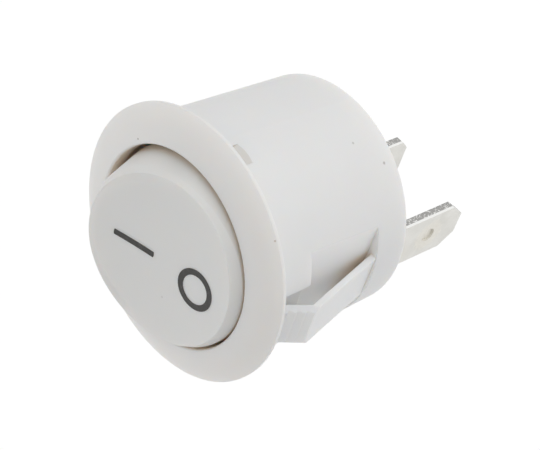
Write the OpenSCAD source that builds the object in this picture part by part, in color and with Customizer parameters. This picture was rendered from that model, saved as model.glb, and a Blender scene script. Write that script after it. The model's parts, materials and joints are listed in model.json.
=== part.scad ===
// Round panel rocker switch: a snap-in housing with a two-position rocker, a rocking
// contact and two blade terminals. The origin is the centre of the bezel's back face,
// +Z points out of the panel, +Y towards the rocker's I end and X is the pivot axis.
// The rocker is drawn with its O end pressed, which is the open, switched-off position.

/* [Bezel] */
// Outer diameter of the bezel
bezel_d = 22.6; // [22:0.1:26]
// Height of the bezel's front edge above the panel, at the opening
bezel_h = 1.4; // [1.2:0.1:2]
// Straight height of the rim before the dome starts
rim_h = 0.3; // [0.2:0.05:0.5]
// Angle between the dome's tangents at the rim and at the opening
dome_turn = 34; // [20:1:38]
// Diameter of the opening that the rocker moves in
opening_d = 16.5; // [16.46:0.02:16.8]
// Rounding of the opening's edge
opening_round = 0.2; // [0.1:0.05:0.3]

/* [Barrel] */
// Diameter of the barrel at the back of the bezel
barrel_d = 20.2; // [20.1:0.1:20.8]
// Length of the straight land that sits in the panel's hole
land_l = 2.4; // [1:0.1:3]
// Draft of the barrel's side behind the land, in degrees
barrel_draft = 1.5; // [0:0.1:1.6]
// Length of the barrel behind the bezel
barrel_l = 14.7; // [14.7:0.1:18]
// Radius of the well that the rocker turns in
well_r = 8.6; // [8.5:0.05:8.8]
// Depth of that well behind the bezel's back face
well_depth = 4.3; // [4.2:0.1:4.8]
// Radius of the chamber behind the well
chamber_r = 7.7; // [7.4:0.05:7.8]
// Thickness of the floor that carries the terminals
floor_t = 1.7; // [1.4:0.1:2.2]
// Depth of the recess behind the floor
back_recess = 0.8; // [0.4:0.1:1.2]
// Thickness of the skirt around that recess
skirt_t = 0.85; // [0.7:0.05:0.95]
// Depth of the locating notch behind the bezel
notch_depth = 0.6; // [0.3:0.05:0.6]
// Length of the locating notch along the barrel
notch_l = 1.9; // [1:0.1:2.4]
// Width of the locating notch
notch_w = 1.9; // [1:0.1:2.4]
// Direction of the locating notch round the barrel, from the O side
notch_angle = 81; // [76:1:90]

/* [Latches] */
// Width of a latch arm
latch_w = 4.0; // [3:0.1:4.4]
// Height of a latch's crest above the barrel
latch_rise = 1.5; // [1:0.1:1.8]
// Distance of the crest from the bezel
crest_z = 3.0; // [2.4:0.1:3.4]
// Distance of an arm's free end from the bezel
latch_gap = 0.45; // [0.3:0.05:0.8]
// Distance of an arm's root from the bezel
root_z = 11.4; // [10.8:0.1:11.6]
// Thickness of an arm at its root
root_t = 0.55; // [0.45:0.05:0.7]
// Thickness of an arm at its crest
crest_t = 0.5; // [0.4:0.05:0.6]
// Thickness of the leaf that is folded back from the crest as the catch
catch_t = 0.5; // [0.4:0.05:0.6]
// Distance of the ramp's edges below the barrel's surface at the root
root_sink = 0.05; // [0.05:0.05:0.2]
// Number of grip steps on the slanted end face
grip_steps = 4; // [2:1:6]
// Depth of each grip step
step_depth = 0.12; // [0.05:0.01:0.16]
// Bevel of the crest's two ends
crest_bevel = 0.4; // [0.2:0.05:0.5]
// Distance of the pocket's flat floor from the axis
pocket_y = 8.7; // [8.6:0.05:8.9]
// Distance of the pocket's front edge from the bezel
pocket_z = 3.85; // [3.5:0.05:4.2]
// Clearance of an arm in the narrow slot towards the bezel
slot_gap = 0.45; // [0.3:0.05:0.6]
// Distance of that slot's floor from the axis
slot_y = 9.2; // [9.1:0.05:9.3]

/* [Rocker] */
// Radius of the rocker's side at the level of the pivot
rocker_r = 8.1; // [8:0.01:8.1]
// Lowest height of the dished top above the pivot
valley_h = 4.5; // [4.2:0.1:4.8]
// Radius that the top is dished to, from one end to the other
dish_r = 47; // [35:1:80]
// Height of the bevelled band below the lowest part of the top
band_h = 0.45; // [0.3:0.05:0.6]
// Slope of that band away from upright, in degrees
band_slope = 30; // [20:1:40]
// Tilt of the rocker to each side, in degrees
rocker_tilt = 9.05; // [8.5:0.05:9.1]
// Depth of the pivot behind the bezel's back face
pivot_z = 1.6; // [1.5:0.05:1.8]
// Thickness of the rocker's top
rocker_top_t = 1.3; // [1:0.1:1.6]
// Thickness of the rocker's side wall
rocker_wall = 1.2; // [0.9:0.1:1.5]
// Depth of the rocker's skirt below the pivot
skirt_h = 1.0; // [0.8:0.1:1.1]
// Radius of the trunnions
trunnion_r = 1.25; // [1:0.05:1.4]
// Length of trunnion in its bearing
trunnion_in = 0.6; // [0.5:0.05:0.7]
// Thickness of the stiffening ribs under the top
rib_t = 0.8; // [0.6:0.1:1]
// Thickness of plastic above the spring
roof_t = 2.2; // [1.8:0.1:2.6]

/* [Plunger and spring] */
// Outer radius of the stem that guides the plunger
stem_r = 2.1; // [2:0.1:2.4]
// Gap between the end of the upright stem and the fulcrum
stem_gap = 3.7; // [3.3:0.1:4.2]
// Radius of the plunger
plunger_r = 1.2; // [1.1:0.05:1.3]
// Length of the plunger without its round nose
plunger_l = 3.6; // [3:0.1:4]
// Length of the plunger's thinner end behind that nose
nose_l = 0.6; // [0.4:0.1:0.8]
// Radius of the spring wire
wire_r = 0.16; // [0.12:0.02:0.2]
// Turns of the spring
spring_turns = 6; // [4:1:8]

/* [Contact lever] */
// Height of the fulcrum above the floor
fulcrum_h = 2.3; // [2.2:0.05:2.4]
// Tilt of the lever to each side, in degrees
lever_tilt = 5; // [4:0.25:5.25]
// Thickness of the lever
lever_t = 0.6; // [0.5:0.05:0.6]
// Width of the lever
lever_w = 3.6; // [3:0.1:4]
// Width of the lever's neck between the prongs
neck_w = 2.3; // [2:0.1:2.3]
// Length of the lever's contact arm
contact_arm = 6.4; // [6:0.1:6.6]
// Length of the lever's short arm
short_arm = 4.2; // [3.6:0.1:4.4]
// Distance of the contacts from the fulcrum
contact_y = 5.2; // [5:0.1:5.4]
// Radius of the contacts
contact_r = 1.1; // [0.9:0.05:1.2]
// Height of the moving contact's head
moving_h = 0.45; // [0.35:0.05:0.5]

/* [Terminals] */
// Width of a blade
blade_w = 4.4; // [4.4:0.05:4.9]
// Thickness of a blade
blade_t = 0.8; // [0.7:0.05:0.85]
// Distance of the switched blade's outer face from the pivot plane
blade_y = 8.4; // [8.3:0.05:8.42]
// Length of the switched blade behind the barrel
switched_l = 8.75; // [7:0.25:10]
// Length of the common blade behind the barrel
common_l = 9.85; // [7:0.25:11]
// Length of the switched blade's tip bevels
switched_bevel = 1.45; // [0.8:0.05:2]
// Width of the switched blade's tip bevels
switched_bevel_w = 1.15; // [0.6:0.05:1.6]
// Length and width of the common blade's tip bevels
common_bevel = 0.75; // [0.5:0.05:1.5]
// Diameter of the detent hole in a blade
detent_d = 1.3; // [1:0.1:1.6]
// Distance of the detent hole from a blade's tip
detent_z = 3.7; // [3.4:0.1:4]
// Depth of the detent's dimple
detent_depth = 0.2; // [0.15:0.05:0.35]
// Outer radius of the fold between the switched blade and its shelf
bend_r = 0.8; // [0.4:0.1:0.8]
// Depth of the recess that the shelf lies in
shelf_sink = 0.2; // [0.1:0.1:0.3]
// Length of shelf beyond the fixed contact
shelf_lip = 0.5; // [0.2:0.1:0.6]
// Width of the prongs beside the lever
prong_w = 0.7; // [0.6:0.05:0.7]
// Height of the prongs above the fulcrum
prong_h = 1.0; // [0.8:0.1:1.2]

/* [Fits] */
// Radial clearance of trunnions and plunger in their bores
running = 0.05; // [0.02:0.01:0.08]
// Gap between the lever and the fulcrum, and between closed contacts
seat_gap = 0.05; // [0.03:0.01:0.08]
// Gap between the plunger's nose and the lever
nose_gap = 0.28; // [0.25:0.01:0.34]
// Gap round the switched terminal's shelf in its recess
shelf_gap = 0.1; // [0.05:0.05:0.15]
// Gap beside moving parts
side_gap = 0.3; // [0.2:0.05:0.4]

/* [Hidden] */
$fn = 96;
eps = 0.01;
// Cuts run this far past what they cut.
past = 1;
white = [0.9, 0.9, 0.89];
rocker_white = [0.86, 0.86, 0.84];
tin = [0.78, 0.77, 0.73];
brass = [0.8, 0.65, 0.33];
steel = [0.62, 0.63, 0.65];
silver = [0.86, 0.86, 0.88];

bezel_r = bezel_d / 2;
opening_r = opening_d / 2;
barrel_r = barrel_d / 2;
barrel_slope = tan(barrel_draft);
back_r = barrel_r - (barrel_l - land_l) * barrel_slope;
floor_back = barrel_l - back_recess;
floor_front = floor_back - floor_t;
fulcrum_z = floor_front - fulcrum_h;
stem_l = fulcrum_z - pivot_z - stem_gap;

root_in = 0.5;
crest_y = barrel_r + latch_rise;
root_y = sqrt(pow(barrel_r - (root_z - land_l) * barrel_slope, 2) - pow(latch_w / 2, 2)) - root_sink;
ramp_slope = (crest_y - root_y) / (root_z - crest_z);
tip_y = barrel_r + 0.1;
catch_run = [crest_y - tip_y, crest_z - latch_gap];
catch_angle = atan2(catch_run[0], catch_run[1]);
// The two leaves' inner faces meet at this corner, worked out from their thicknesses.
ramp_angle = atan(ramp_slope);
fold = sin(ramp_angle + catch_angle);
corner_y = crest_y - (catch_t * sin(ramp_angle) + crest_t * sin(catch_angle)) / fold;
corner_z = crest_z + (catch_t * cos(ramp_angle) - crest_t * cos(catch_angle)) / fold;
tip_inner = corner_y - (corner_z - latch_gap) * tan(catch_angle);
inner_slope = (corner_y - root_y + root_t) / (root_z - corner_z);

stem_bore = plunger_r + running;
lever_bottom = -fulcrum_z + seat_gap;
// The nose lies on the lever's upper face at the sideways reach of the tilted stem.
nose_reach = (fulcrum_z - seat_gap - lever_t - pivot_z - nose_gap)
    / (cos(rocker_tilt) - sin(rocker_tilt) * tan(lever_tilt));
nose_r = plunger_r * 0.75;
plunger_top = nose_reach - nose_r - plunger_l;
spring_r = plunger_r - 2 * wire_r;
spring_end = valley_h - roof_t;

// The side leans in from where it would otherwise meet the opening at full tilt.
lean_h = rocker_r * (1 - cos(rocker_tilt)) / sin(rocker_tilt);
band_start = valley_h - band_h;
band_r = (rocker_r - band_start * sin(rocker_tilt)) / cos(rocker_tilt);

foot_top = -floor_front - shelf_sink + blade_t;
contact_drop = contact_y * sin(lever_tilt);
fixed_top = lever_bottom - contact_drop - moving_h * cos(lever_tilt) - seat_gap - contact_r * sin(lever_tilt);
shelf_end = contact_y - contact_r - shelf_lip;
throat_w = neck_w + 2 * side_gap;
inner_w = throat_w + 2 * prong_w;
common_tip = barrel_l + common_l;
switched_tip = barrel_l + switched_l;

// Turns its children about the rocker's pivot axis, whose height they are drawn from.
module on_pivot(angle) {
    translate([0, 0, -pivot_z]) rotate([angle, 0, 0]) children();
}

// Turns its children about the fulcrum's axis, which they are drawn from.
module on_fulcrum(angle) {
    translate([0, 0, -fulcrum_z]) rotate([angle, 0, 0]) children();
}

// A plate standing across Y, drawn from its face outline in X and Z.
module plate(y, t) {
    translate([0, y + t, 0]) rotate([90, 0, 0]) linear_extrude(t) children();
}

// Half section of the bezel: a flat back, a short straight rim and a domed front.
module bezel_section() {
    run = bezel_r - opening_r;
    rise = bezel_h - rim_h;
    chord = sqrt(run * run + rise * rise);
    dome_r = chord / 2 / sin(dome_turn / 2);
    reach = dome_r * cos(dome_turn / 2);
    centre = [bezel_r - run / 2 - reach * rise / chord, rim_h + rise / 2 - reach * run / chord];
    intersection() {
        square([bezel_r, bezel_h]);
        translate(centre) circle(dome_r);
    }
}

// Section of the opening, with its rounded edge flaring out at the front.
module opening_section() {
    translate([0, -eps]) square([opening_r, bezel_h + 1]);
    difference() {
        translate([0, bezel_h - opening_round]) square([opening_r + opening_round, 1]);
        translate([opening_r + opening_round, bezel_h - opening_round]) circle(opening_round);
    }
}

// Section of the barrel: a straight land for the panel's hole, then a drafted side.
module barrel_section() {
    polygon([[0, 0], [barrel_r, 0], [barrel_r, -land_l], [back_r, -barrel_l], [0, -barrel_l]]);
}

// Section of everything that is hollow: well, chamber and the recess behind the floor.
module hollow_section() {
    opening_section();
    translate([0, -well_depth]) square([well_r, well_depth]);
    translate([0, -floor_front]) square([chamber_r, floor_front]);
    translate([0, -barrel_l - 1]) square([back_r - skirt_t, back_recess + 1]);
}

module housing_shell() {
    rotate_extrude() difference() {
        union() {
            bezel_section();
            barrel_section();
        }
        hollow_section();
    }
}

// Flat-bottomed pocket beside an arm, with a narrow slot towards the bezel.
module latch_pocket() {
    reach = crest_y + 1;
    translate([-barrel_r / 2, -reach, -root_z]) cube([barrel_r, reach - pocket_y, root_z - pocket_z]);
    translate([-latch_w / 2 - slot_gap, -reach, -pocket_z - eps])
        cube([latch_w + 2 * slot_gap, reach - slot_y, pocket_z - latch_gap / 2 + eps]);
}

// Side outline of a latch arm in Y (outwards) and Z, with its stepped end face.
module latch_outline() {
    side = catch_run / norm(catch_run);
    steps = [for (i = [0 : grip_steps - 1], j = [0, 1])
        let (k = (i + j) / grip_steps, dip = j * (i < grip_steps - 1 ? step_depth : 0))
        [crest_y - k * catch_run[0] - dip * side[1], -crest_z + k * catch_run[1] - dip * side[0]]];
    polygon(concat(
        [[root_y - root_t - inner_slope * root_in, -root_z - root_in],
         [root_y - ramp_slope * root_in, -root_z - root_in]],
        steps,
        [[tip_inner, -latch_gap], [corner_y, -corner_z]]));
}

module latch_arm() {
    difference() {
        rotate([90, 0, -90]) linear_extrude(latch_w, center = true) latch_outline();
        // bevels along both sides of the end face
        for (side = [-1, 1]) translate([side * latch_w / 2, -crest_y, -crest_z]) rotate([-catch_angle, 0, 0])
            rotate([0, 0, 45]) translate([0, 0, norm(catch_run) / 2])
                cube([crest_bevel * sqrt(2), crest_bevel * sqrt(2), norm(catch_run) + 2 * crest_bevel], center = true);
    }
}

// Wedge-shaped notch that keeps the housing from turning in its panel.
module locating_notch() {
    rotate([0, 0, notch_angle - 90]) translate([barrel_r, 0, 0]) rotate([90, 0, 0])
        linear_extrude(notch_w, center = true)
            polygon([[1, 0], [1, -notch_l], [0, -notch_l], [-notch_depth, 0]]);
}

module blade_slot(y) {
    translate([-blade_w / 2, y, -floor_back - past]) cube([blade_w, blade_t, floor_t + 1.5 * past]);
}

module housing() {
    color(white) difference() {
        union() {
            difference() {
                housing_shell();
                for (turn = [0, 180]) rotate([0, 0, turn]) latch_pocket();
                locating_notch();
            }
            for (turn = [0, 180]) rotate([0, 0, turn]) latch_arm();
        }
        for (side = [-1, 1])
            translate([side * (well_r - 1), 0, -pivot_z]) rotate([0, side * 90, 0])
                cylinder(h = trunnion_in + side_gap / 2 + 1, r = trunnion_r + running);
        blade_slot(-blade_t / 2);
        blade_slot(-blade_y);
        // shallow recess that the switched terminal's shelf lies in
        translate([-blade_w / 2 - shelf_gap, -blade_y - shelf_gap, -floor_front - shelf_sink])
            cube([blade_w + 2 * shelf_gap, blade_y - shelf_end + 2 * shelf_gap, blade_t + shelf_gap]);
    }
}

// Half section of the rocker, or of its hollow where it is set in by a wall.
module rocker_section(inset, bottom) {
    over = dish_r - sqrt(dish_r * dish_r - rocker_r * rocker_r) + past;
    polygon([[0, -bottom], [rocker_r - inset, -bottom], [rocker_r - inset, lean_h],
             [band_r - inset, band_start],
             [band_r - inset - (band_h + over) * tan(band_slope), valley_h + over],
             [0, valley_h + over]]);
}

// The rocker's outer form, or its hollow, with the top dished along its length.
module rocker_form(inset, lowered, bottom) {
    difference() {
        rotate_extrude() rocker_section(inset, bottom);
        translate([0, 0, valley_h + dish_r]) rotate([0, 90, 0])
            cylinder(h = 3 * rocker_r, r = dish_r + lowered, center = true, $fn = 360);
    }
}

module rocker_body() {
    difference() {
        rocker_form(0, 0, skirt_h);
        rocker_form(rocker_wall, rocker_top_t, skirt_h + past);
    }
}

// Two crossed ribs that stiffen the top, buried halfway into the wall and the top.
module rocker_ribs() {
    intersection() {
        rocker_form(rocker_wall / 2, rocker_top_t / 2, skirt_h - 0.1);
        union() for (turn = [0, 90]) rotate([0, 0, turn])
            translate([-rocker_r, -rib_t / 2, -skirt_h]) cube([2 * rocker_r, rib_t, valley_h + skirt_h + past]);
    }
}

module rocker() {
    color(rocker_white) on_pivot(rocker_tilt) difference() {
        union() {
            rocker_body();
            translate([0, 0, -stem_l]) cylinder(h = stem_l + valley_h - rocker_top_t + 0.2, r = stem_r);
            rocker_ribs();
            for (side = [-1, 1]) translate([side * (rocker_r - 2 * rocker_wall), 0, 0]) rotate([0, side * 90, 0])
                cylinder(h = well_r + trunnion_in - rocker_r + 2 * rocker_wall, r = trunnion_r);
        }
        translate([0, 0, -stem_l - eps]) cylinder(h = stem_l + spring_end + eps, r = stem_bore);
    }
}

// Plunger with a round nose, sliding in the stem along the rocker's own axis.
module plunger() {
    color(steel) on_pivot(rocker_tilt) translate([0, 0, -nose_reach]) {
        translate([0, 0, nose_r]) sphere(nose_r, $fn = 48);
        translate([0, 0, nose_r]) cylinder(h = plunger_l, r = nose_r);
        translate([0, 0, nose_r + nose_l]) cylinder(h = plunger_l - nose_l, r = plunger_r);
    }
}

function coil_point(t, rise) = [spring_r * cos(360 * t), spring_r * sin(360 * t), rise * t];

module plunger_spring() {
    rise = (spring_end + plunger_top - 2 * wire_r) / spring_turns;
    sides = 8;
    rings = spring_turns * 14;
    pitch_angle = atan(rise / (2 * PI * spring_r));
    points = [for (i = [0 : rings]) let (t = i / 14, c = coil_point(t, rise))
        for (k = [0 : sides - 1]) let (a = 360 * k / sides, out = wire_r * cos(a), up = wire_r * sin(a))
            c + [out * cos(360 * t) + up * sin(360 * t) * sin(pitch_angle),
                 out * sin(360 * t) - up * cos(360 * t) * sin(pitch_angle),
                 up * cos(pitch_angle)]];
    sheet = [for (i = [0 : rings - 1], k = [0 : sides - 1]) let (n = (k + 1) % sides)
        [i * sides + k, i * sides + n, (i + 1) * sides + n, (i + 1) * sides + k]];
    caps = [[for (k = [sides - 1 : -1 : 0]) k], [for (k = [0 : sides - 1]) rings * sides + k]];
    color(steel) on_pivot(rocker_tilt) translate([0, 0, -plunger_top + wire_r])
        polyhedron(points, concat(sheet, caps));
}

// Rocking bridge: a flat strip, narrowed where it lies between the fulcrum's prongs.
module contact_lever() {
    color(brass) on_fulcrum(-lever_tilt) translate([0, 0, seat_gap]) difference() {
        linear_extrude(lever_t) difference() {
            translate([-lever_w / 2, -contact_arm]) square([lever_w, contact_arm + short_arm]);
            for (side = [-1, 1]) translate([side * (neck_w / 2 + lever_w / 2), 0])
                square([lever_w, blade_t + 2 * side_gap + 0.3], center = true);
        }
        translate([0, -contact_y, -eps]) cylinder(h = lever_t + 2 * eps, r = contact_r / 2);
    }
}

// Contact rivet: a domed head under the lever, its shank filling the lever's hole.
module moving_contact() {
    color(silver) on_fulcrum(-lever_tilt) translate([0, -contact_y, seat_gap]) {
        cylinder(h = lever_t, r = contact_r / 2);
        translate([0, 0, lever_t]) cylinder(h = 0.2, r = contact_r * 0.7);
        translate([0, 0, -moving_h]) cylinder(h = moving_h, r1 = contact_r - 0.25, r2 = contact_r);
    }
}

module fixed_contact() {
    color(silver) translate([0, -contact_y, 0]) {
        translate([0, 0, foot_top - blade_t]) cylinder(h = blade_t, r = contact_r / 2);
        translate([0, 0, foot_top]) cylinder(h = fixed_top - foot_top, r1 = contact_r, r2 = contact_r - 0.2);
    }
}

// Face outline of a blade from its bevelled tip up to a given height.
module blade_outline(tip, top, bevel_l, bevel_w) {
    polygon([[-blade_w / 2, top], [-blade_w / 2, -tip + bevel_l], [-blade_w / 2 + bevel_w, -tip],
             [blade_w / 2 - bevel_w, -tip], [blade_w / 2, -tip + bevel_l], [blade_w / 2, top]]);
}

// Dimple on both faces of a blade that a receptacle's detent snaps into.
module detent(y, tip) {
    for (face = [[y - eps, 0], [y + blade_t - detent_depth, eps]])
        translate([0, face[0], -tip + detent_z]) rotate([-90, 0, 0])
            cylinder(h = detent_depth + eps, d = detent_d);
}

module common_terminal() {
    color(tin) difference() {
        plate(-blade_t / 2, blade_t) difference() {
            union() {
                blade_outline(common_tip, -floor_front, common_bevel, common_bevel);
                translate([-inner_w / 2, -floor_front - 1]) square([inner_w, floor_front - fulcrum_z + prong_h + 1]);
            }
            translate([-throat_w / 2, -fulcrum_z]) square([throat_w, 2 * prong_h]);
        }
        // roof-shaped ridge that the lever rocks on
        for (side = [-1, 1]) translate([0, 0, -fulcrum_z]) rotate([90, 0, 90]) linear_extrude(throat_w, center = true)
            polygon([[0, 0], [side * blade_t, -blade_t / 2], [side * blade_t, 2 * prong_h], [0, 2 * prong_h]]);
        detent(-blade_t / 2, common_tip);
    }
}

// Side outline of the switched terminal: the blade and the shelf folded inwards from it.
module shelf_profile() {
    difference() {
        translate([-blade_y, -switched_tip]) square([blade_y - shelf_end, switched_tip + foot_top]);
        translate([-blade_y + blade_t, -switched_tip - 1])
            square([blade_y, switched_tip + foot_top - blade_t + 1]);
        translate([-blade_y - 1, foot_top - bend_r]) difference() {
            square([1 + bend_r, 1 + bend_r]);
            translate([1 + bend_r, 0]) circle(bend_r);
        }
    }
}

module switched_terminal() {
    color(tin) difference() {
        intersection() {
            rotate([90, 0, 90]) linear_extrude(blade_w + 2 * past, center = true) shelf_profile();
            plate(-blade_y - 1, blade_y + 1) blade_outline(switched_tip, foot_top + 1, switched_bevel, switched_bevel_w);
        }
        detent(-blade_y, switched_tip);
        translate([0, -contact_y, foot_top - blade_t - eps]) cylinder(h = blade_t + 2 * eps, r = contact_r / 2);
    }
}

housing();
rocker();
plunger();
plunger_spring();
contact_lever();
moving_contact();
fixed_contact();
common_terminal();
switched_terminal();
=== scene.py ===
import json
import math

import bmesh
import bpy
from mathutils import Matrix, Vector
from mathutils.bvhtree import BVHTree


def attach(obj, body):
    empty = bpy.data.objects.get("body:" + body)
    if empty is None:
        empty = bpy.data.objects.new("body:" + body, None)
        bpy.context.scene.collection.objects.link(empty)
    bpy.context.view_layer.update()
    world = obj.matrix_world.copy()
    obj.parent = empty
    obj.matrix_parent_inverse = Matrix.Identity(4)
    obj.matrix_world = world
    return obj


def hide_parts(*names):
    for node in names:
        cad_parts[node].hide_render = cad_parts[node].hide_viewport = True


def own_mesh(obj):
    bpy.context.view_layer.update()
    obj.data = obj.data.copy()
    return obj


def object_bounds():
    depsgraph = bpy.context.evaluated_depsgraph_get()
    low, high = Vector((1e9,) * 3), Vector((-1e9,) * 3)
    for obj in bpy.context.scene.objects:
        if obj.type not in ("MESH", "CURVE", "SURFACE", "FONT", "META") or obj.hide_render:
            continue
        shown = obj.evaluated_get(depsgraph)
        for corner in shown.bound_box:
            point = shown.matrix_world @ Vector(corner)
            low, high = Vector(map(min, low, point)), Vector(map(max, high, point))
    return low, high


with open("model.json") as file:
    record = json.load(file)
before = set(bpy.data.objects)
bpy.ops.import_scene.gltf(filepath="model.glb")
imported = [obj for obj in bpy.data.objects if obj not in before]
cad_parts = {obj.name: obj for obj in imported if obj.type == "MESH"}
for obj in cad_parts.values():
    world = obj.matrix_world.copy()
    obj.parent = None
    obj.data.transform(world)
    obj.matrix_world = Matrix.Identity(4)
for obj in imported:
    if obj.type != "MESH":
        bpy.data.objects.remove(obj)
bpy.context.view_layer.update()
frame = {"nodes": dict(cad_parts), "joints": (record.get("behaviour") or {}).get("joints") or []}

mm = 0.001  # sizes below are written in millimetres, and noise scales per metre
wellAbove = 20 * mm  # clear of the rocker's top
nodes = frame["nodes"]
joints = {joint["name"]: joint for joint in frame["joints"]}
scene = bpy.context.scene


def feed(tree, socket, value):
    if isinstance(value, bpy.types.NodeSocket):
        tree.links.new(value, socket)
    else:
        socket.default_value = value


def addNode(tree, kind, inputs=None, **settings):
    node = tree.nodes.new(kind)
    for name, value in settings.items():
        setattr(node, name, value)
    for name, value in (inputs or {}).items():
        feed(tree, node.inputs[name], value)
    return node


def addMath(tree, operation, first, second=0.0, third=0.0):
    return addNode(tree, "ShaderNodeMath", {0: first, 1: second, 2: third}, operation=operation).outputs[0]


def addRamp(tree, value, low, high, kind="LINEAR"):
    # 0 up to low and 1 from high on
    sockets = {"Value": value, "From Min": low, "From Max": high, "To Min": 0.0, "To Max": 1.0}
    return addNode(tree, "ShaderNodeMapRange", sockets, interpolation_type=kind).outputs[0]


def addNoise(tree, place, scale, detail):
    sockets = {"Vector": place, "Scale": scale, "Detail": detail}
    return addNode(tree, "ShaderNodeTexNoise", sockets).outputs[0]


def isOver(tree, value, limit):
    return addMath(tree, "GREATER_THAN", value, limit)


def isUnder(tree, value, limit):
    return addMath(tree, "LESS_THAN", value, limit)


def allOf(tree, mask, *others):
    for other in others:
        mask = addMath(tree, "MULTIPLY", mask, other)
    return mask


def splitVector(tree, vector):
    return addNode(tree, "ShaderNodeSeparateXYZ", {0: vector}).outputs


def distanceFromAxis(tree, x, y):
    flat = addNode(tree, "ShaderNodeCombineXYZ", {0: x, 1: y}).outputs[0]
    return addNode(tree, "ShaderNodeVectorMath", {0: flat}, operation="LENGTH").outputs["Value"]


def mixColour(tree, factor, first, second):
    node = addNode(tree, "ShaderNodeMix", data_type="RGBA")
    feed(tree, node.inputs[0], factor)
    for index, value in ((6, first), (7, second)):
        plain = not isinstance(value, bpy.types.NodeSocket)
        feed(tree, node.inputs[index], (*value, 1.0) if plain else value)
    return node.outputs[2]


def makeGroup(name, inputs, outputs):
    group = bpy.data.node_groups.new(name, "ShaderNodeTree")
    for label, kind, value in inputs:
        socket = group.interface.new_socket(label, in_out="INPUT", socket_type=kind)
        if value is not None:
            socket.default_value = value
    for label, kind in outputs:
        group.interface.new_socket(label, in_out="OUTPUT", socket_type=kind)
    return group, group.nodes.new("NodeGroupInput").outputs, group.nodes.new("NodeGroupOutput").inputs


def useGroup(tree, group, **inputs):
    return addNode(tree, "ShaderNodeGroup", inputs, node_tree=group).outputs


def newMaterial(name, constants):
    material = bpy.data.materials.new(name)
    material.use_nodes = True
    tree = material.node_tree
    shader = tree.nodes["Principled BSDF"]
    for socket, value in constants.items():
        shader.inputs[socket].default_value = value
    return material, tree, shader


def makeMouldedGroup():
    look = {"cloud": 260.0, "texture": 5200.0, "rough": 0.40, "roughSpread": 0.12, "height": 0.02}
    group, given, made = makeGroup(
        "mouldedSurface",
        [("Colour", "NodeSocketColor", (0.8, 0.8, 0.8, 1)), ("Mottle", "NodeSocketFloat", 0.02),
         ("Grain", "NodeSocketFloat", 0.05), ("Edge", "NodeSocketFloat", 0.0001)],
        [("Colour", "NodeSocketColor"), ("Roughness", "NodeSocketFloat"), ("Normal", "NodeSocketVector")])
    place = addNode(group, "ShaderNodeTexCoord").outputs["Object"]
    cloudy = addNoise(group, place, look["cloud"], 3.0)
    fine = addNoise(group, place, look["texture"], 2.0)
    shift = addMath(group, "MULTIPLY", addMath(group, "SUBTRACT", cloudy, 0.5), given["Mottle"])
    tinted = addNode(group, "ShaderNodeVectorMath", {0: given["Colour"]}, operation="SCALE")
    group.links.new(addMath(group, "ADD", shift, 1.0), tinted.inputs["Scale"])
    group.links.new(tinted.outputs[0], made["Colour"])
    rough = addMath(group, "MULTIPLY_ADD", fine, look["roughSpread"], look["rough"])
    group.links.new(rough, made["Roughness"])
    rounded = addNode(group, "ShaderNodeBevel", {"Radius": given["Edge"]}, samples=6).outputs[0]
    bump = addNode(group, "ShaderNodeBump", {"Strength": given["Grain"], "Distance": look["height"] * mm,
                                             "Height": fine, "Normal": rounded})
    group.links.new(bump.outputs[0], made["Normal"])
    return group


def makeSpotGroup():
    look = {"ragged": 3000.0, "least": 0.6, "spread": 0.8}
    group, given, made = makeGroup(
        "spot",
        [("Centre", "NodeSocketVector", None), ("Radius", "NodeSocketFloat", 0.0002),
         ("Soft", "NodeSocketFloat", 0.5)],
        [("Mask", "NodeSocketFloat")])
    place = addNode(group, "ShaderNodeTexCoord").outputs["Object"]
    ragged = addNoise(group, place, look["ragged"], 2.0)
    away = addNode(group, "ShaderNodeVectorMath", {0: place, 1: given["Centre"]}, operation="DISTANCE")
    bent = addMath(group, "MULTIPLY_ADD", ragged, look["spread"], look["least"])
    bent = addMath(group, "MULTIPLY", away.outputs["Value"], bent)
    reach = addMath(group, "DIVIDE", bent, given["Radius"])
    full = addMath(group, "SUBTRACT", 1.0, given["Soft"])
    group.links.new(addRamp(group, reach, 1.0, full), made["Mask"])
    return group


def makeCreviceShadeGroup():
    # painted shade: where ambient occlusion finds a narrow gap, the colour is painted deeper and warmer
    look = {"openShare": 0.54, "closedShare": 0.18}
    group, given, made = makeGroup(
        "creviceShade",
        [("Colour", "NodeSocketColor", (0.8, 0.8, 0.8, 1)), ("Deep", "NodeSocketColor", (0.5, 0.4, 0.3, 1)),
         ("Reach", "NodeSocketFloat", 0.001), ("Strength", "NodeSocketFloat", 1.0)],
        [("Colour", "NodeSocketColor")])
    sky = addNode(group, "ShaderNodeAmbientOcclusion", {"Distance": given["Reach"]}, samples=8).outputs["AO"]
    closed = addRamp(group, sky, look["openShare"], look["closedShare"])
    share = addMath(group, "MULTIPLY", closed, given["Strength"])
    group.links.new(mixColour(group, share, given["Colour"], given["Deep"]), made["Colour"])
    return group


moulded = makeMouldedGroup()
spot = makeSpotGroup()
creviceShade = makeCreviceShadeGroup()
whitePlastic = {"IOR": 1.5, "Subsurface Weight": 0.45, "Subsurface Radius": (1.0, 0.80, 0.62),
                "Subsurface Scale": 1.4 * mm}


def addSpot(tree, centre, radius, soft):
    return useGroup(tree, spot, Centre=[c * mm for c in centre], Radius=radius * mm, Soft=soft)["Mask"]


def addSpots(tree, colour, spots):
    # each row is a centre, a radius, the soft share of it, a strength and a tint
    for centre, radius, soft, strength, tint in spots:
        mask = addMath(tree, "MULTIPLY", addSpot(tree, centre, radius, soft), strength)
        colour = mixColour(tree, mask, colour, tint)
    return colour


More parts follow.
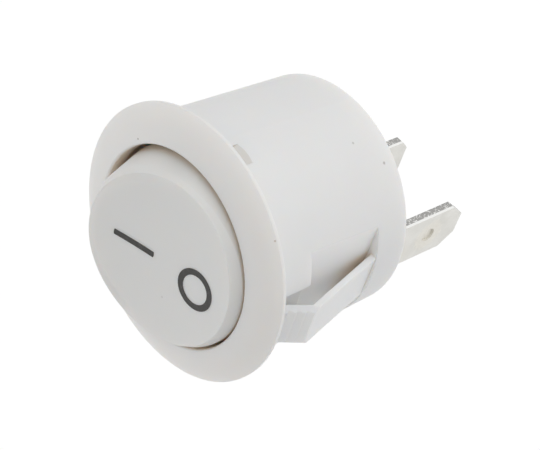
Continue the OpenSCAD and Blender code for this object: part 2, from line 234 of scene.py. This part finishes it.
def makeHousingPlastic():
    look = {"bezel": (0.835, 0.826, 0.812), "barrel": (0.850, 0.850, 0.846), "notch": (0.75, 0.73, 0.70),
            "paintedLight": (0.96, 0.955, 0.945), "shadeTint": (0.80, 0.68, 0.55, 1), "gap": 1.6, "shadeStrength": 0.75,
            "rootShadeStrength": 0.05, "mottle": 0.03, "grain": 0.08, "edge": 0.12,
            "specks": [((6.11, 6.22, 1.36), 0.10, 0.6, 0.75, (0.16, 0.13, 0.11)),
                       ((7.62, -8.22, 0.36), 0.10, 0.7, 0.6, (0.35, 0.24, 0.16)),
                       ((9.15, -3.67, -11.48), 0.13, 0.7, 0.45, (0.30, 0.27, 0.25)),
                       ((7.99, -5.68, -13.53), 0.15, 0.6, 0.6, (0.32, 0.27, 0.22))]}
    zone = {"blend": 0.1, "notchRadius": 10.07, "notchSide": 9.0, "notchTop": -0.01, "notchEnd": -1.95,
            "catchOut": 9.6, "catchTop": -0.8, "catchFacing": 0.5,
            "pocketIn": 8.6, "pocketOut": 8.9, "pocketFacing": 0.98, "skin": 9.7, "skinTop": -8.0}
    material, tree, shader = newMaterial("housingPlastic", whitePlastic)
    x, y, z = splitVector(tree, addNode(tree, "ShaderNodeTexCoord").outputs["Object"])
    radius = distanceFromAxis(tree, x, y)
    # painted shade: the bezel's front is painted a little darker and warmer than the barrel behind it
    front = addRamp(tree, z, -zone["blend"] * mm, zone["blend"] * mm)
    colour = mixColour(tree, front, look["barrel"], look["bezel"])
    # painted shade: the shallow notch just behind the bezel is painted darker
    notch = allOf(tree, isUnder(tree, radius, zone["notchRadius"] * mm),
                  isOver(tree, x, zone["notchSide"] * mm),
                  isOver(tree, z, zone["notchEnd"] * mm), isUnder(tree, z, zone["notchTop"] * mm))
    colour = mixColour(tree, notch, colour, look["notch"])
    # painted light: the catch faces and the pocket floors are painted paler, as if lit through their thin
    # walls
    facing = splitVector(tree, addNode(tree, "ShaderNodeNewGeometry").outputs["Normal"])
    out = addMath(tree, "ABSOLUTE", y)
    catchPaintedLight = allOf(tree, isOver(tree, facing[2], zone["catchFacing"]), isUnder(tree, z, zone["catchTop"] * mm),
                  isOver(tree, out, zone["catchOut"] * mm))
    pocketPaintedLight = allOf(tree, isUnder(tree, out, zone["pocketOut"] * mm), isOver(tree, out, zone["pocketIn"] * mm),
                   isOver(tree, addMath(tree, "ABSOLUTE", facing[1]), zone["pocketFacing"]))
    colour = mixColour(tree, addMath(tree, "MAXIMUM", catchPaintedLight, pocketPaintedLight), colour, look["paintedLight"])
    surface = useGroup(tree, moulded, Colour=colour, Mottle=look["mottle"], Grain=look["grain"],
                       Edge=look["edge"] * mm)
    # painted shade in the gaps, deeper and warmer; the latch leaves' roots run into the barrel's skin there,
    # so in their corners this painted shade is kept weak
    skin = allOf(tree, isOver(tree, radius, zone["skin"] * mm), isUnder(tree, z, zone["skinTop"] * mm))
    loss = look["rootShadeStrength"] - look["shadeStrength"]
    strength = addMath(tree, "MULTIPLY_ADD", skin, loss, look["shadeStrength"])
    shaded = useGroup(tree, creviceShade, Colour=surface["Colour"], Deep=look["shadeTint"], Reach=look["gap"] * mm,
                      Strength=strength)
    tree.links.new(addSpots(tree, shaded["Colour"], look["specks"]), shader.inputs["Base Color"])
    tree.links.new(surface["Roughness"], shader.inputs["Roughness"])
    tree.links.new(surface["Normal"], shader.inputs["Normal"])
    return material


def makeRockerPlastic():
    look = {"colour": (0.80, 0.797, 0.782, 1), "shadeTint": (0.80, 0.70, 0.58, 1), "gap": 1.4, "shadeStrength": 0.9,
            "mottle": 0.02, "grain": 0.06, "edge": 0.1,
            "start": 6.2, "roll": 0.5, "slope": 0.42, "plainEnd": -0.5, "rolledEnd": 3.0,
            "specks": [((-3.13, -1.75, 2.69), 0.12, 0.8, 0.45, (0.45, 0.42, 0.39))]}
    tilt = math.asin(-joints["plunger_slide"]["axis"][1])
    pivot = joints["rocker_pivot"]["pos_m"][2]
    material, tree, shader = newMaterial("rockerPlastic", whitePlastic)
    place = addNode(tree, "ShaderNodeTexCoord").outputs["Object"]
    surface = useGroup(tree, moulded, Colour=look["colour"], Mottle=look["mottle"], Grain=look["grain"],
                       Edge=look["edge"] * mm)
    # painted shade: the rocker's sides are painted deeper and warmer where they run into the gap under the
    # bezel
    shaded = useGroup(tree, creviceShade, Colour=surface["Colour"], Deep=look["shadeTint"], Reach=look["gap"] * mm,
                      Strength=look["shadeStrength"])
    tree.links.new(addSpots(tree, shaded["Colour"], look["specks"]), shader.inputs["Base Color"])
    tree.links.new(surface["Roughness"], shader.inputs["Roughness"])
    # the I end of the top is eased off: a soft roll in the normal, from the start radius outwards
    own = addNode(tree, "ShaderNodeMapping", {"Vector": place, "Rotation": (-tilt, 0, 0)}).outputs[0]
    across, along, _ = splitVector(tree, own)
    along = addMath(tree, "SUBTRACT", along, -pivot * math.sin(tilt))
    beyond = addMath(tree, "SUBTRACT", distanceFromAxis(tree, across, along), look["start"] * mm)
    beyond = addMath(tree, "SMOOTH_MAX", beyond, 0.0, look["roll"] * mm)
    end = addRamp(tree, along, look["plainEnd"] * mm, look["rolledEnd"] * mm, "SMOOTHSTEP")
    drop = addMath(tree, "MULTIPLY", addMath(tree, "MULTIPLY", beyond, end), -look["slope"])
    roll = addNode(tree, "ShaderNodeBump", {"Strength": 1.0, "Distance": 1.0, "Height": drop,
                                            "Normal": surface["Normal"]})
    tree.links.new(roll.outputs[0], shader.inputs["Normal"])
    return material


def makeInk():
    look = {"colour": (0.058, 0.056, 0.053), "worn": (0.16, 0.155, 0.15), "patch": 2600.0,
            "thinStart": 0.55, "thinFull": 0.8, "most": 0.35}
    material, tree, shader = newMaterial("printInk", {"IOR": 1.45, "Roughness": 0.55})
    patchy = addNoise(tree, addNode(tree, "ShaderNodeTexCoord").outputs["Object"], look["patch"], 3.0)
    paintedLight = addRamp(tree, patchy, look["thinStart"], look["thinFull"])
    paintedLight = addMath(tree, "MULTIPLY", paintedLight, look["most"])
    tree.links.new(mixColour(tree, paintedLight, look["colour"], look["worn"]), shader.inputs["Base Color"])
    return material


def shearSides(tree, base, blades):
    # a blanked side is bright where the punch went in, then dull with bright torn flecks
    given = addNode(tree, "ShaderNodeTexCoord").outputs
    facing = addMath(tree, "ABSOLUTE", splitVector(tree, given["Normal"])[0])
    side = isOver(tree, facing, blades["sideFacing"])
    grit = addNoise(tree, given["Object"], blades["grit"], 3.0)
    flecks = addRamp(tree, grit, blades["fleckStart"], blades["fleckFull"])
    torn = mixColour(tree, flecks, blades["torn"], blades["fleck"])
    # one blade's middle lies on the axis and the other's is set apart from it, at negative y
    y = splitVector(tree, given["Object"])[1]
    outer = isUnder(tree, y, blades["outerSide"] * mm)
    fromMiddle = addMath(tree, "MULTIPLY_ADD", outer, blades["apart"] * mm, y)
    dull = addRamp(tree, fromMiddle, blades["cutEnd"] * mm, blades["tornStart"] * mm)
    base = mixColour(tree, side, base, blades["cut"])
    share = addMath(tree, "MULTIPLY", allOf(tree, side, dull), blades["tornShare"])
    return mixColour(tree, share, base, torn)


def makeMetal(name, look, blades=None):
    grain = {"drawn": (1.0, 1.0, 0.12), "fine": 9000.0, "cloud": 700.0, "roughSpread": 0.25, "edge": 0.08,
             "strength": 0.12, "height": 0.01}
    material, tree, shader = newMaterial(name, {"Metallic": 1.0})
    place = addNode(tree, "ShaderNodeTexCoord").outputs["Object"]
    stretch = addNode(tree, "ShaderNodeMapping", {"Vector": place, "Scale": grain["drawn"]}).outputs[0]
    rolled = addNoise(tree, stretch, grain["fine"], 3.0)
    cloudy = addNoise(tree, place, grain["cloud"], 4.0)
    base = mixColour(tree, cloudy, look["colour"], look["dull"])
    if blades:
        base = shearSides(tree, addSpots(tree, base, blades["stains"]), blades)
        # the outer blade's detent is matt from handling, so it reflects little
        matt = addSpot(tree, blades["detent"], blades["detentRadius"], blades["detentSoft"])
        base = mixColour(tree, matt, base, blades["matt"])
        metallic = addMath(tree, "MULTIPLY_ADD", matt, -blades["mattShare"], 1.0)
        tree.links.new(metallic, shader.inputs["Metallic"])
    tree.links.new(base, shader.inputs["Base Color"])
    rough = addMath(tree, "MULTIPLY_ADD", cloudy, grain["roughSpread"], look["rough"])
    tree.links.new(rough, shader.inputs["Roughness"])
    rounded = addNode(tree, "ShaderNodeBevel", {"Radius": grain["edge"] * mm}, samples=6).outputs[0]
    bump = addNode(tree, "ShaderNodeBump", {"Strength": grain["strength"], "Distance": grain["height"] * mm,
                                            "Height": rolled, "Normal": rounded})
    tree.links.new(bump.outputs[0], shader.inputs["Normal"])
    return material


def makeTinnedBrass():
    look = {"colour": (0.83, 0.822, 0.785), "dull": (0.74, 0.73, 0.69), "rough": 0.32}
    blades = {"sideFacing": 0.6, "grit": 6500.0, "fleckStart": 0.55, "fleckFull": 0.64,
              "torn": (0.30, 0.295, 0.285), "fleck": (0.92, 0.92, 0.90), "tornShare": 0.85,
              "cut": (0.95, 0.95, 0.93), "cutEnd": -0.20, "tornStart": -0.12, "outerSide": -4.0, "apart": 8.0,
              "detent": (0, -8.3, -19.75), "detentRadius": 1.7, "detentSoft": 0.3,
              "matt": (0.86, 0.835, 0.76), "mattShare": 0.9,
              "stains": [((0.35, -8.4, -19.2), 0.85, 0.9, 0.35, (0.70, 0.64, 0.50)),
                         ((-1.2, -8.4, -17.0), 1.3, 0.9, 0.20, (0.72, 0.68, 0.58))]}
    return makeMetal("tinnedBrass", look, blades)


def dress(material, *names):
    for name in names:
        mesh = nodes[name].data
        mesh.materials.clear()
        mesh.materials.append(material)


springSteel = {"colour": (0.62, 0.62, 0.63), "dull": (0.48, 0.48, 0.5), "rough": 0.22}
leverBrass = {"colour": (0.78, 0.6, 0.3), "dull": (0.62, 0.46, 0.22), "rough": 0.28}
contactSilver = {"colour": (0.9, 0.9, 0.88), "dull": (0.75, 0.74, 0.72), "rough": 0.25}
dress(makeHousingPlastic(), "housing")
dress(makeRockerPlastic(), "rocker")
dress(makeTinnedBrass(), "common_terminal", "switched_terminal")
dress(makeMetal("springSteel", springSteel), "plunger", "plunger_spring")
dress(makeMetal("leverBrass", leverBrass), "contact_lever")
dress(makeMetal("contactSilver", contactSilver), "moving_contact", "fixed_contact")
print("materials on the frame's nodes")


def makeSpringCoil():
    # the coil shortens as the plunger rises; a copy stands for its solid and is attached to the rocker's body
    coil = nodes["plunger_spring"].copy()
    coil.data = coil.data.copy()
    coil.name = "springCoil"
    scene.collection.objects.link(coil)
    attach(coil, "rocker")
    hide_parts("plunger_spring")
    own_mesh(coil)


makeSpringCoil()
print("spring coil")


def findFace(tree, x, y, turn=0.0):
    # one half of the rocker's top, found on the rocker itself
    above = Vector((x * mm, y * mm, wellAbove))
    centre, normal, _, _ = tree.ray_cast(above, Vector((0, 0, -1)))
    across = Vector((1, 0, 0))
    return {"tree": tree, "turn": math.radians(turn), "centre": centre, "normal": normal,
            "across": across, "along": normal.cross(across).normalized()}


def layOn(face, u, v, lift):
    side = u * math.cos(face["turn"]) - v * math.sin(face["turn"])
    up = u * math.sin(face["turn"]) + v * math.cos(face["turn"])
    start = face["centre"] + face["across"] * side * mm + face["along"] * up * mm + face["normal"] * 3 * mm
    hit, _, _, _ = face["tree"].ray_cast(start, -face["normal"])
    return hit + face["normal"] * lift * mm


def makePrint(name, face, rings, lift, closed):
    bm = bmesh.new()
    rows = [[bm.verts.new(layOn(face, u, v, lift)) for u, v in ring] for ring in rings]
    for inner, outer in zip(rows, rows[1:]):
        count = len(inner)
        for i in range(count if closed else count - 1):
            j = (i + 1) % count
            bm.faces.new((inner[i], inner[j], outer[j], outer[i]))
    bmesh.ops.recalc_face_normals(bm, faces=bm.faces)
    mesh = bpy.data.meshes.new(name)
    bm.to_mesh(mesh)
    bm.free()
    mark = bpy.data.objects.new(name, mesh)
    scene.collection.objects.link(mark)
    for polygon in mesh.polygons:
        polygon.use_smooth = True
    if sum(polygon.normal.dot(face["normal"]) for polygon in mesh.polygons) < 0:
        mesh.flip_normals()
    mesh.materials.append(ink)
    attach(mark, "rocker")


def makeOnMark():
    size = {"x": -0.27, "y": 1.95, "turn": 6.0, "length": 3.94, "width": 0.53, "lift": 0.012, "steps": 24,
            "tip": 0.05}
    face = findFace(rockerSurface, size["x"], size["y"], size["turn"])
    rings = []
    for side in (-1.0, -0.5, 0.0, 0.5, 1.0):
        half = size["length"] / 2 - size["tip"] * side * side
        u = side * size["width"] / 2
        rings.append([(u, half * (2 * i / size["steps"] - 1)) for i in range(size["steps"] + 1)])
    makePrint("on_mark", face, rings, size["lift"], False)


def makeOffMark():
    size = {"x": -0.08, "y": -4.33, "inner": 1.23, "outer": 1.77, "lift": 0.012, "steps": 96, "bands": 4}
    face = findFace(rockerSurface, size["x"], size["y"])
    turns = [2 * math.pi * i / size["steps"] for i in range(size["steps"])]
    rings = []
    for band in range(size["bands"] + 1):
        radius = size["inner"] + (size["outer"] - size["inner"]) * band / size["bands"]
        rings.append([(radius * math.cos(turn), radius * math.sin(turn)) for turn in turns])
    makePrint("off_mark", face, rings, size["lift"], True)


ink = makeInk()
rockerSurface = BVHTree.FromObject(nodes["rocker"], bpy.context.evaluated_depsgraph_get())
makeOnMark()
makeOffMark()
print("printed marks")


def makeFloor():
    size = {"drop": 36.0, "half": 900.0, "glow": 1.04, "share": 0.93}
    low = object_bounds()[0].z - size["drop"] * mm
    half = size["half"] * mm
    corners = [(-half, -half, low), (half, -half, low), (half, half, low), (-half, half, low)]
    mesh = bpy.data.meshes.new("floor")
    mesh.from_pydata(corners, [], [(0, 1, 2, 3)])
    floor = bpy.data.objects.new("floor", mesh)
    scene.collection.objects.link(floor)
    paper = {"Roughness": 0.9, "Base Color": (0.9, 0.9, 0.9, 1)}
    material, tree, shader = newMaterial("floorPaper", paper)
    glow = addNode(tree, "ShaderNodeEmission", {"Color": (1, 1, 1, 1), "Strength": size["glow"]})
    path = addNode(tree, "ShaderNodeLightPath").outputs
    seen = addMath(tree, "MAXIMUM", path["Is Camera Ray"], path["Is Glossy Ray"])
    share = addMath(tree, "MULTIPLY", seen, size["share"])
    mixed = addNode(tree, "ShaderNodeMixShader", {0: share, 1: shader.outputs[0], 2: glow.outputs[0]})
    tree.links.new(mixed.outputs[0], tree.nodes["Material Output"].inputs[0])
    mesh.materials.append(material)
    floor.visible_diffuse = False


def makeWorld():
    # a plain level all round, a little brighter towards one side and dimmer along another axis
    light = {"level": 1.18, "slope": 0.354, "towards": (0.0, -0.04, -1.0),
             "dim": 0.775, "across": (-0.28, -0.89, 0.359)}
    world = bpy.data.worlds.new("studio")
    scene.world = world
    world.use_nodes = True
    tree = world.node_tree
    ground = tree.nodes["Background"]
    ray = addNode(tree, "ShaderNodeTexCoord").outputs["Generated"]
    main, side = [addNode(tree, "ShaderNodeVectorMath", {0: ray, 1: light[way]}, operation="DOT_PRODUCT")
                  .outputs["Value"] for way in ("towards", "across")]
    level = addMath(tree, "MULTIPLY_ADD", main, light["slope"], light["level"])
    dim = addMath(tree, "MULTIPLY", addMath(tree, "MULTIPLY", side, side), light["dim"])
    level = addMath(tree, "SUBTRACT", level, dim)
    seen = addNode(tree, "ShaderNodeLightPath").outputs["Is Camera Ray"]
    unseen = addMath(tree, "SUBTRACT", 1.0, seen)
    strength = addMath(tree, "ADD", addMath(tree, "MULTIPLY", level, unseen), seen)
    tree.links.new(strength, ground.inputs["Strength"])
    ground.inputs["Color"].default_value = (1, 1, 1, 1)


def makeCamera():
    pose = {"at": (86.17, -60.85, 76.29), "right": (0.2628, -0.6411, -0.7210),
            "up": (0.7205, 0.6274, -0.2953), "lens": 112.5, "sensor": 36.0}
    data = bpy.data.cameras.new("camera")
    camera = bpy.data.objects.new("camera", data)
    scene.collection.objects.link(camera)
    data.lens = pose["lens"]
    data.sensor_width = pose["sensor"]
    data.sensor_fit = "HORIZONTAL"
    data.clip_start = 0.005
    data.clip_end = 10.0
    right = Vector(pose["right"]).normalized()
    up = Vector(pose["up"])
    up = (up - right * up.dot(right)).normalized()
    turn = Matrix((right, up, right.cross(up))).transposed()
    camera.matrix_world = Matrix.Translation(Vector(pose["at"]) * mm) @ turn.to_4x4()
    scene.camera = camera


makeFloor()
makeWorld()
makeCamera()
scene.view_settings.view_transform = "Standard"
print("floor, light and camera")
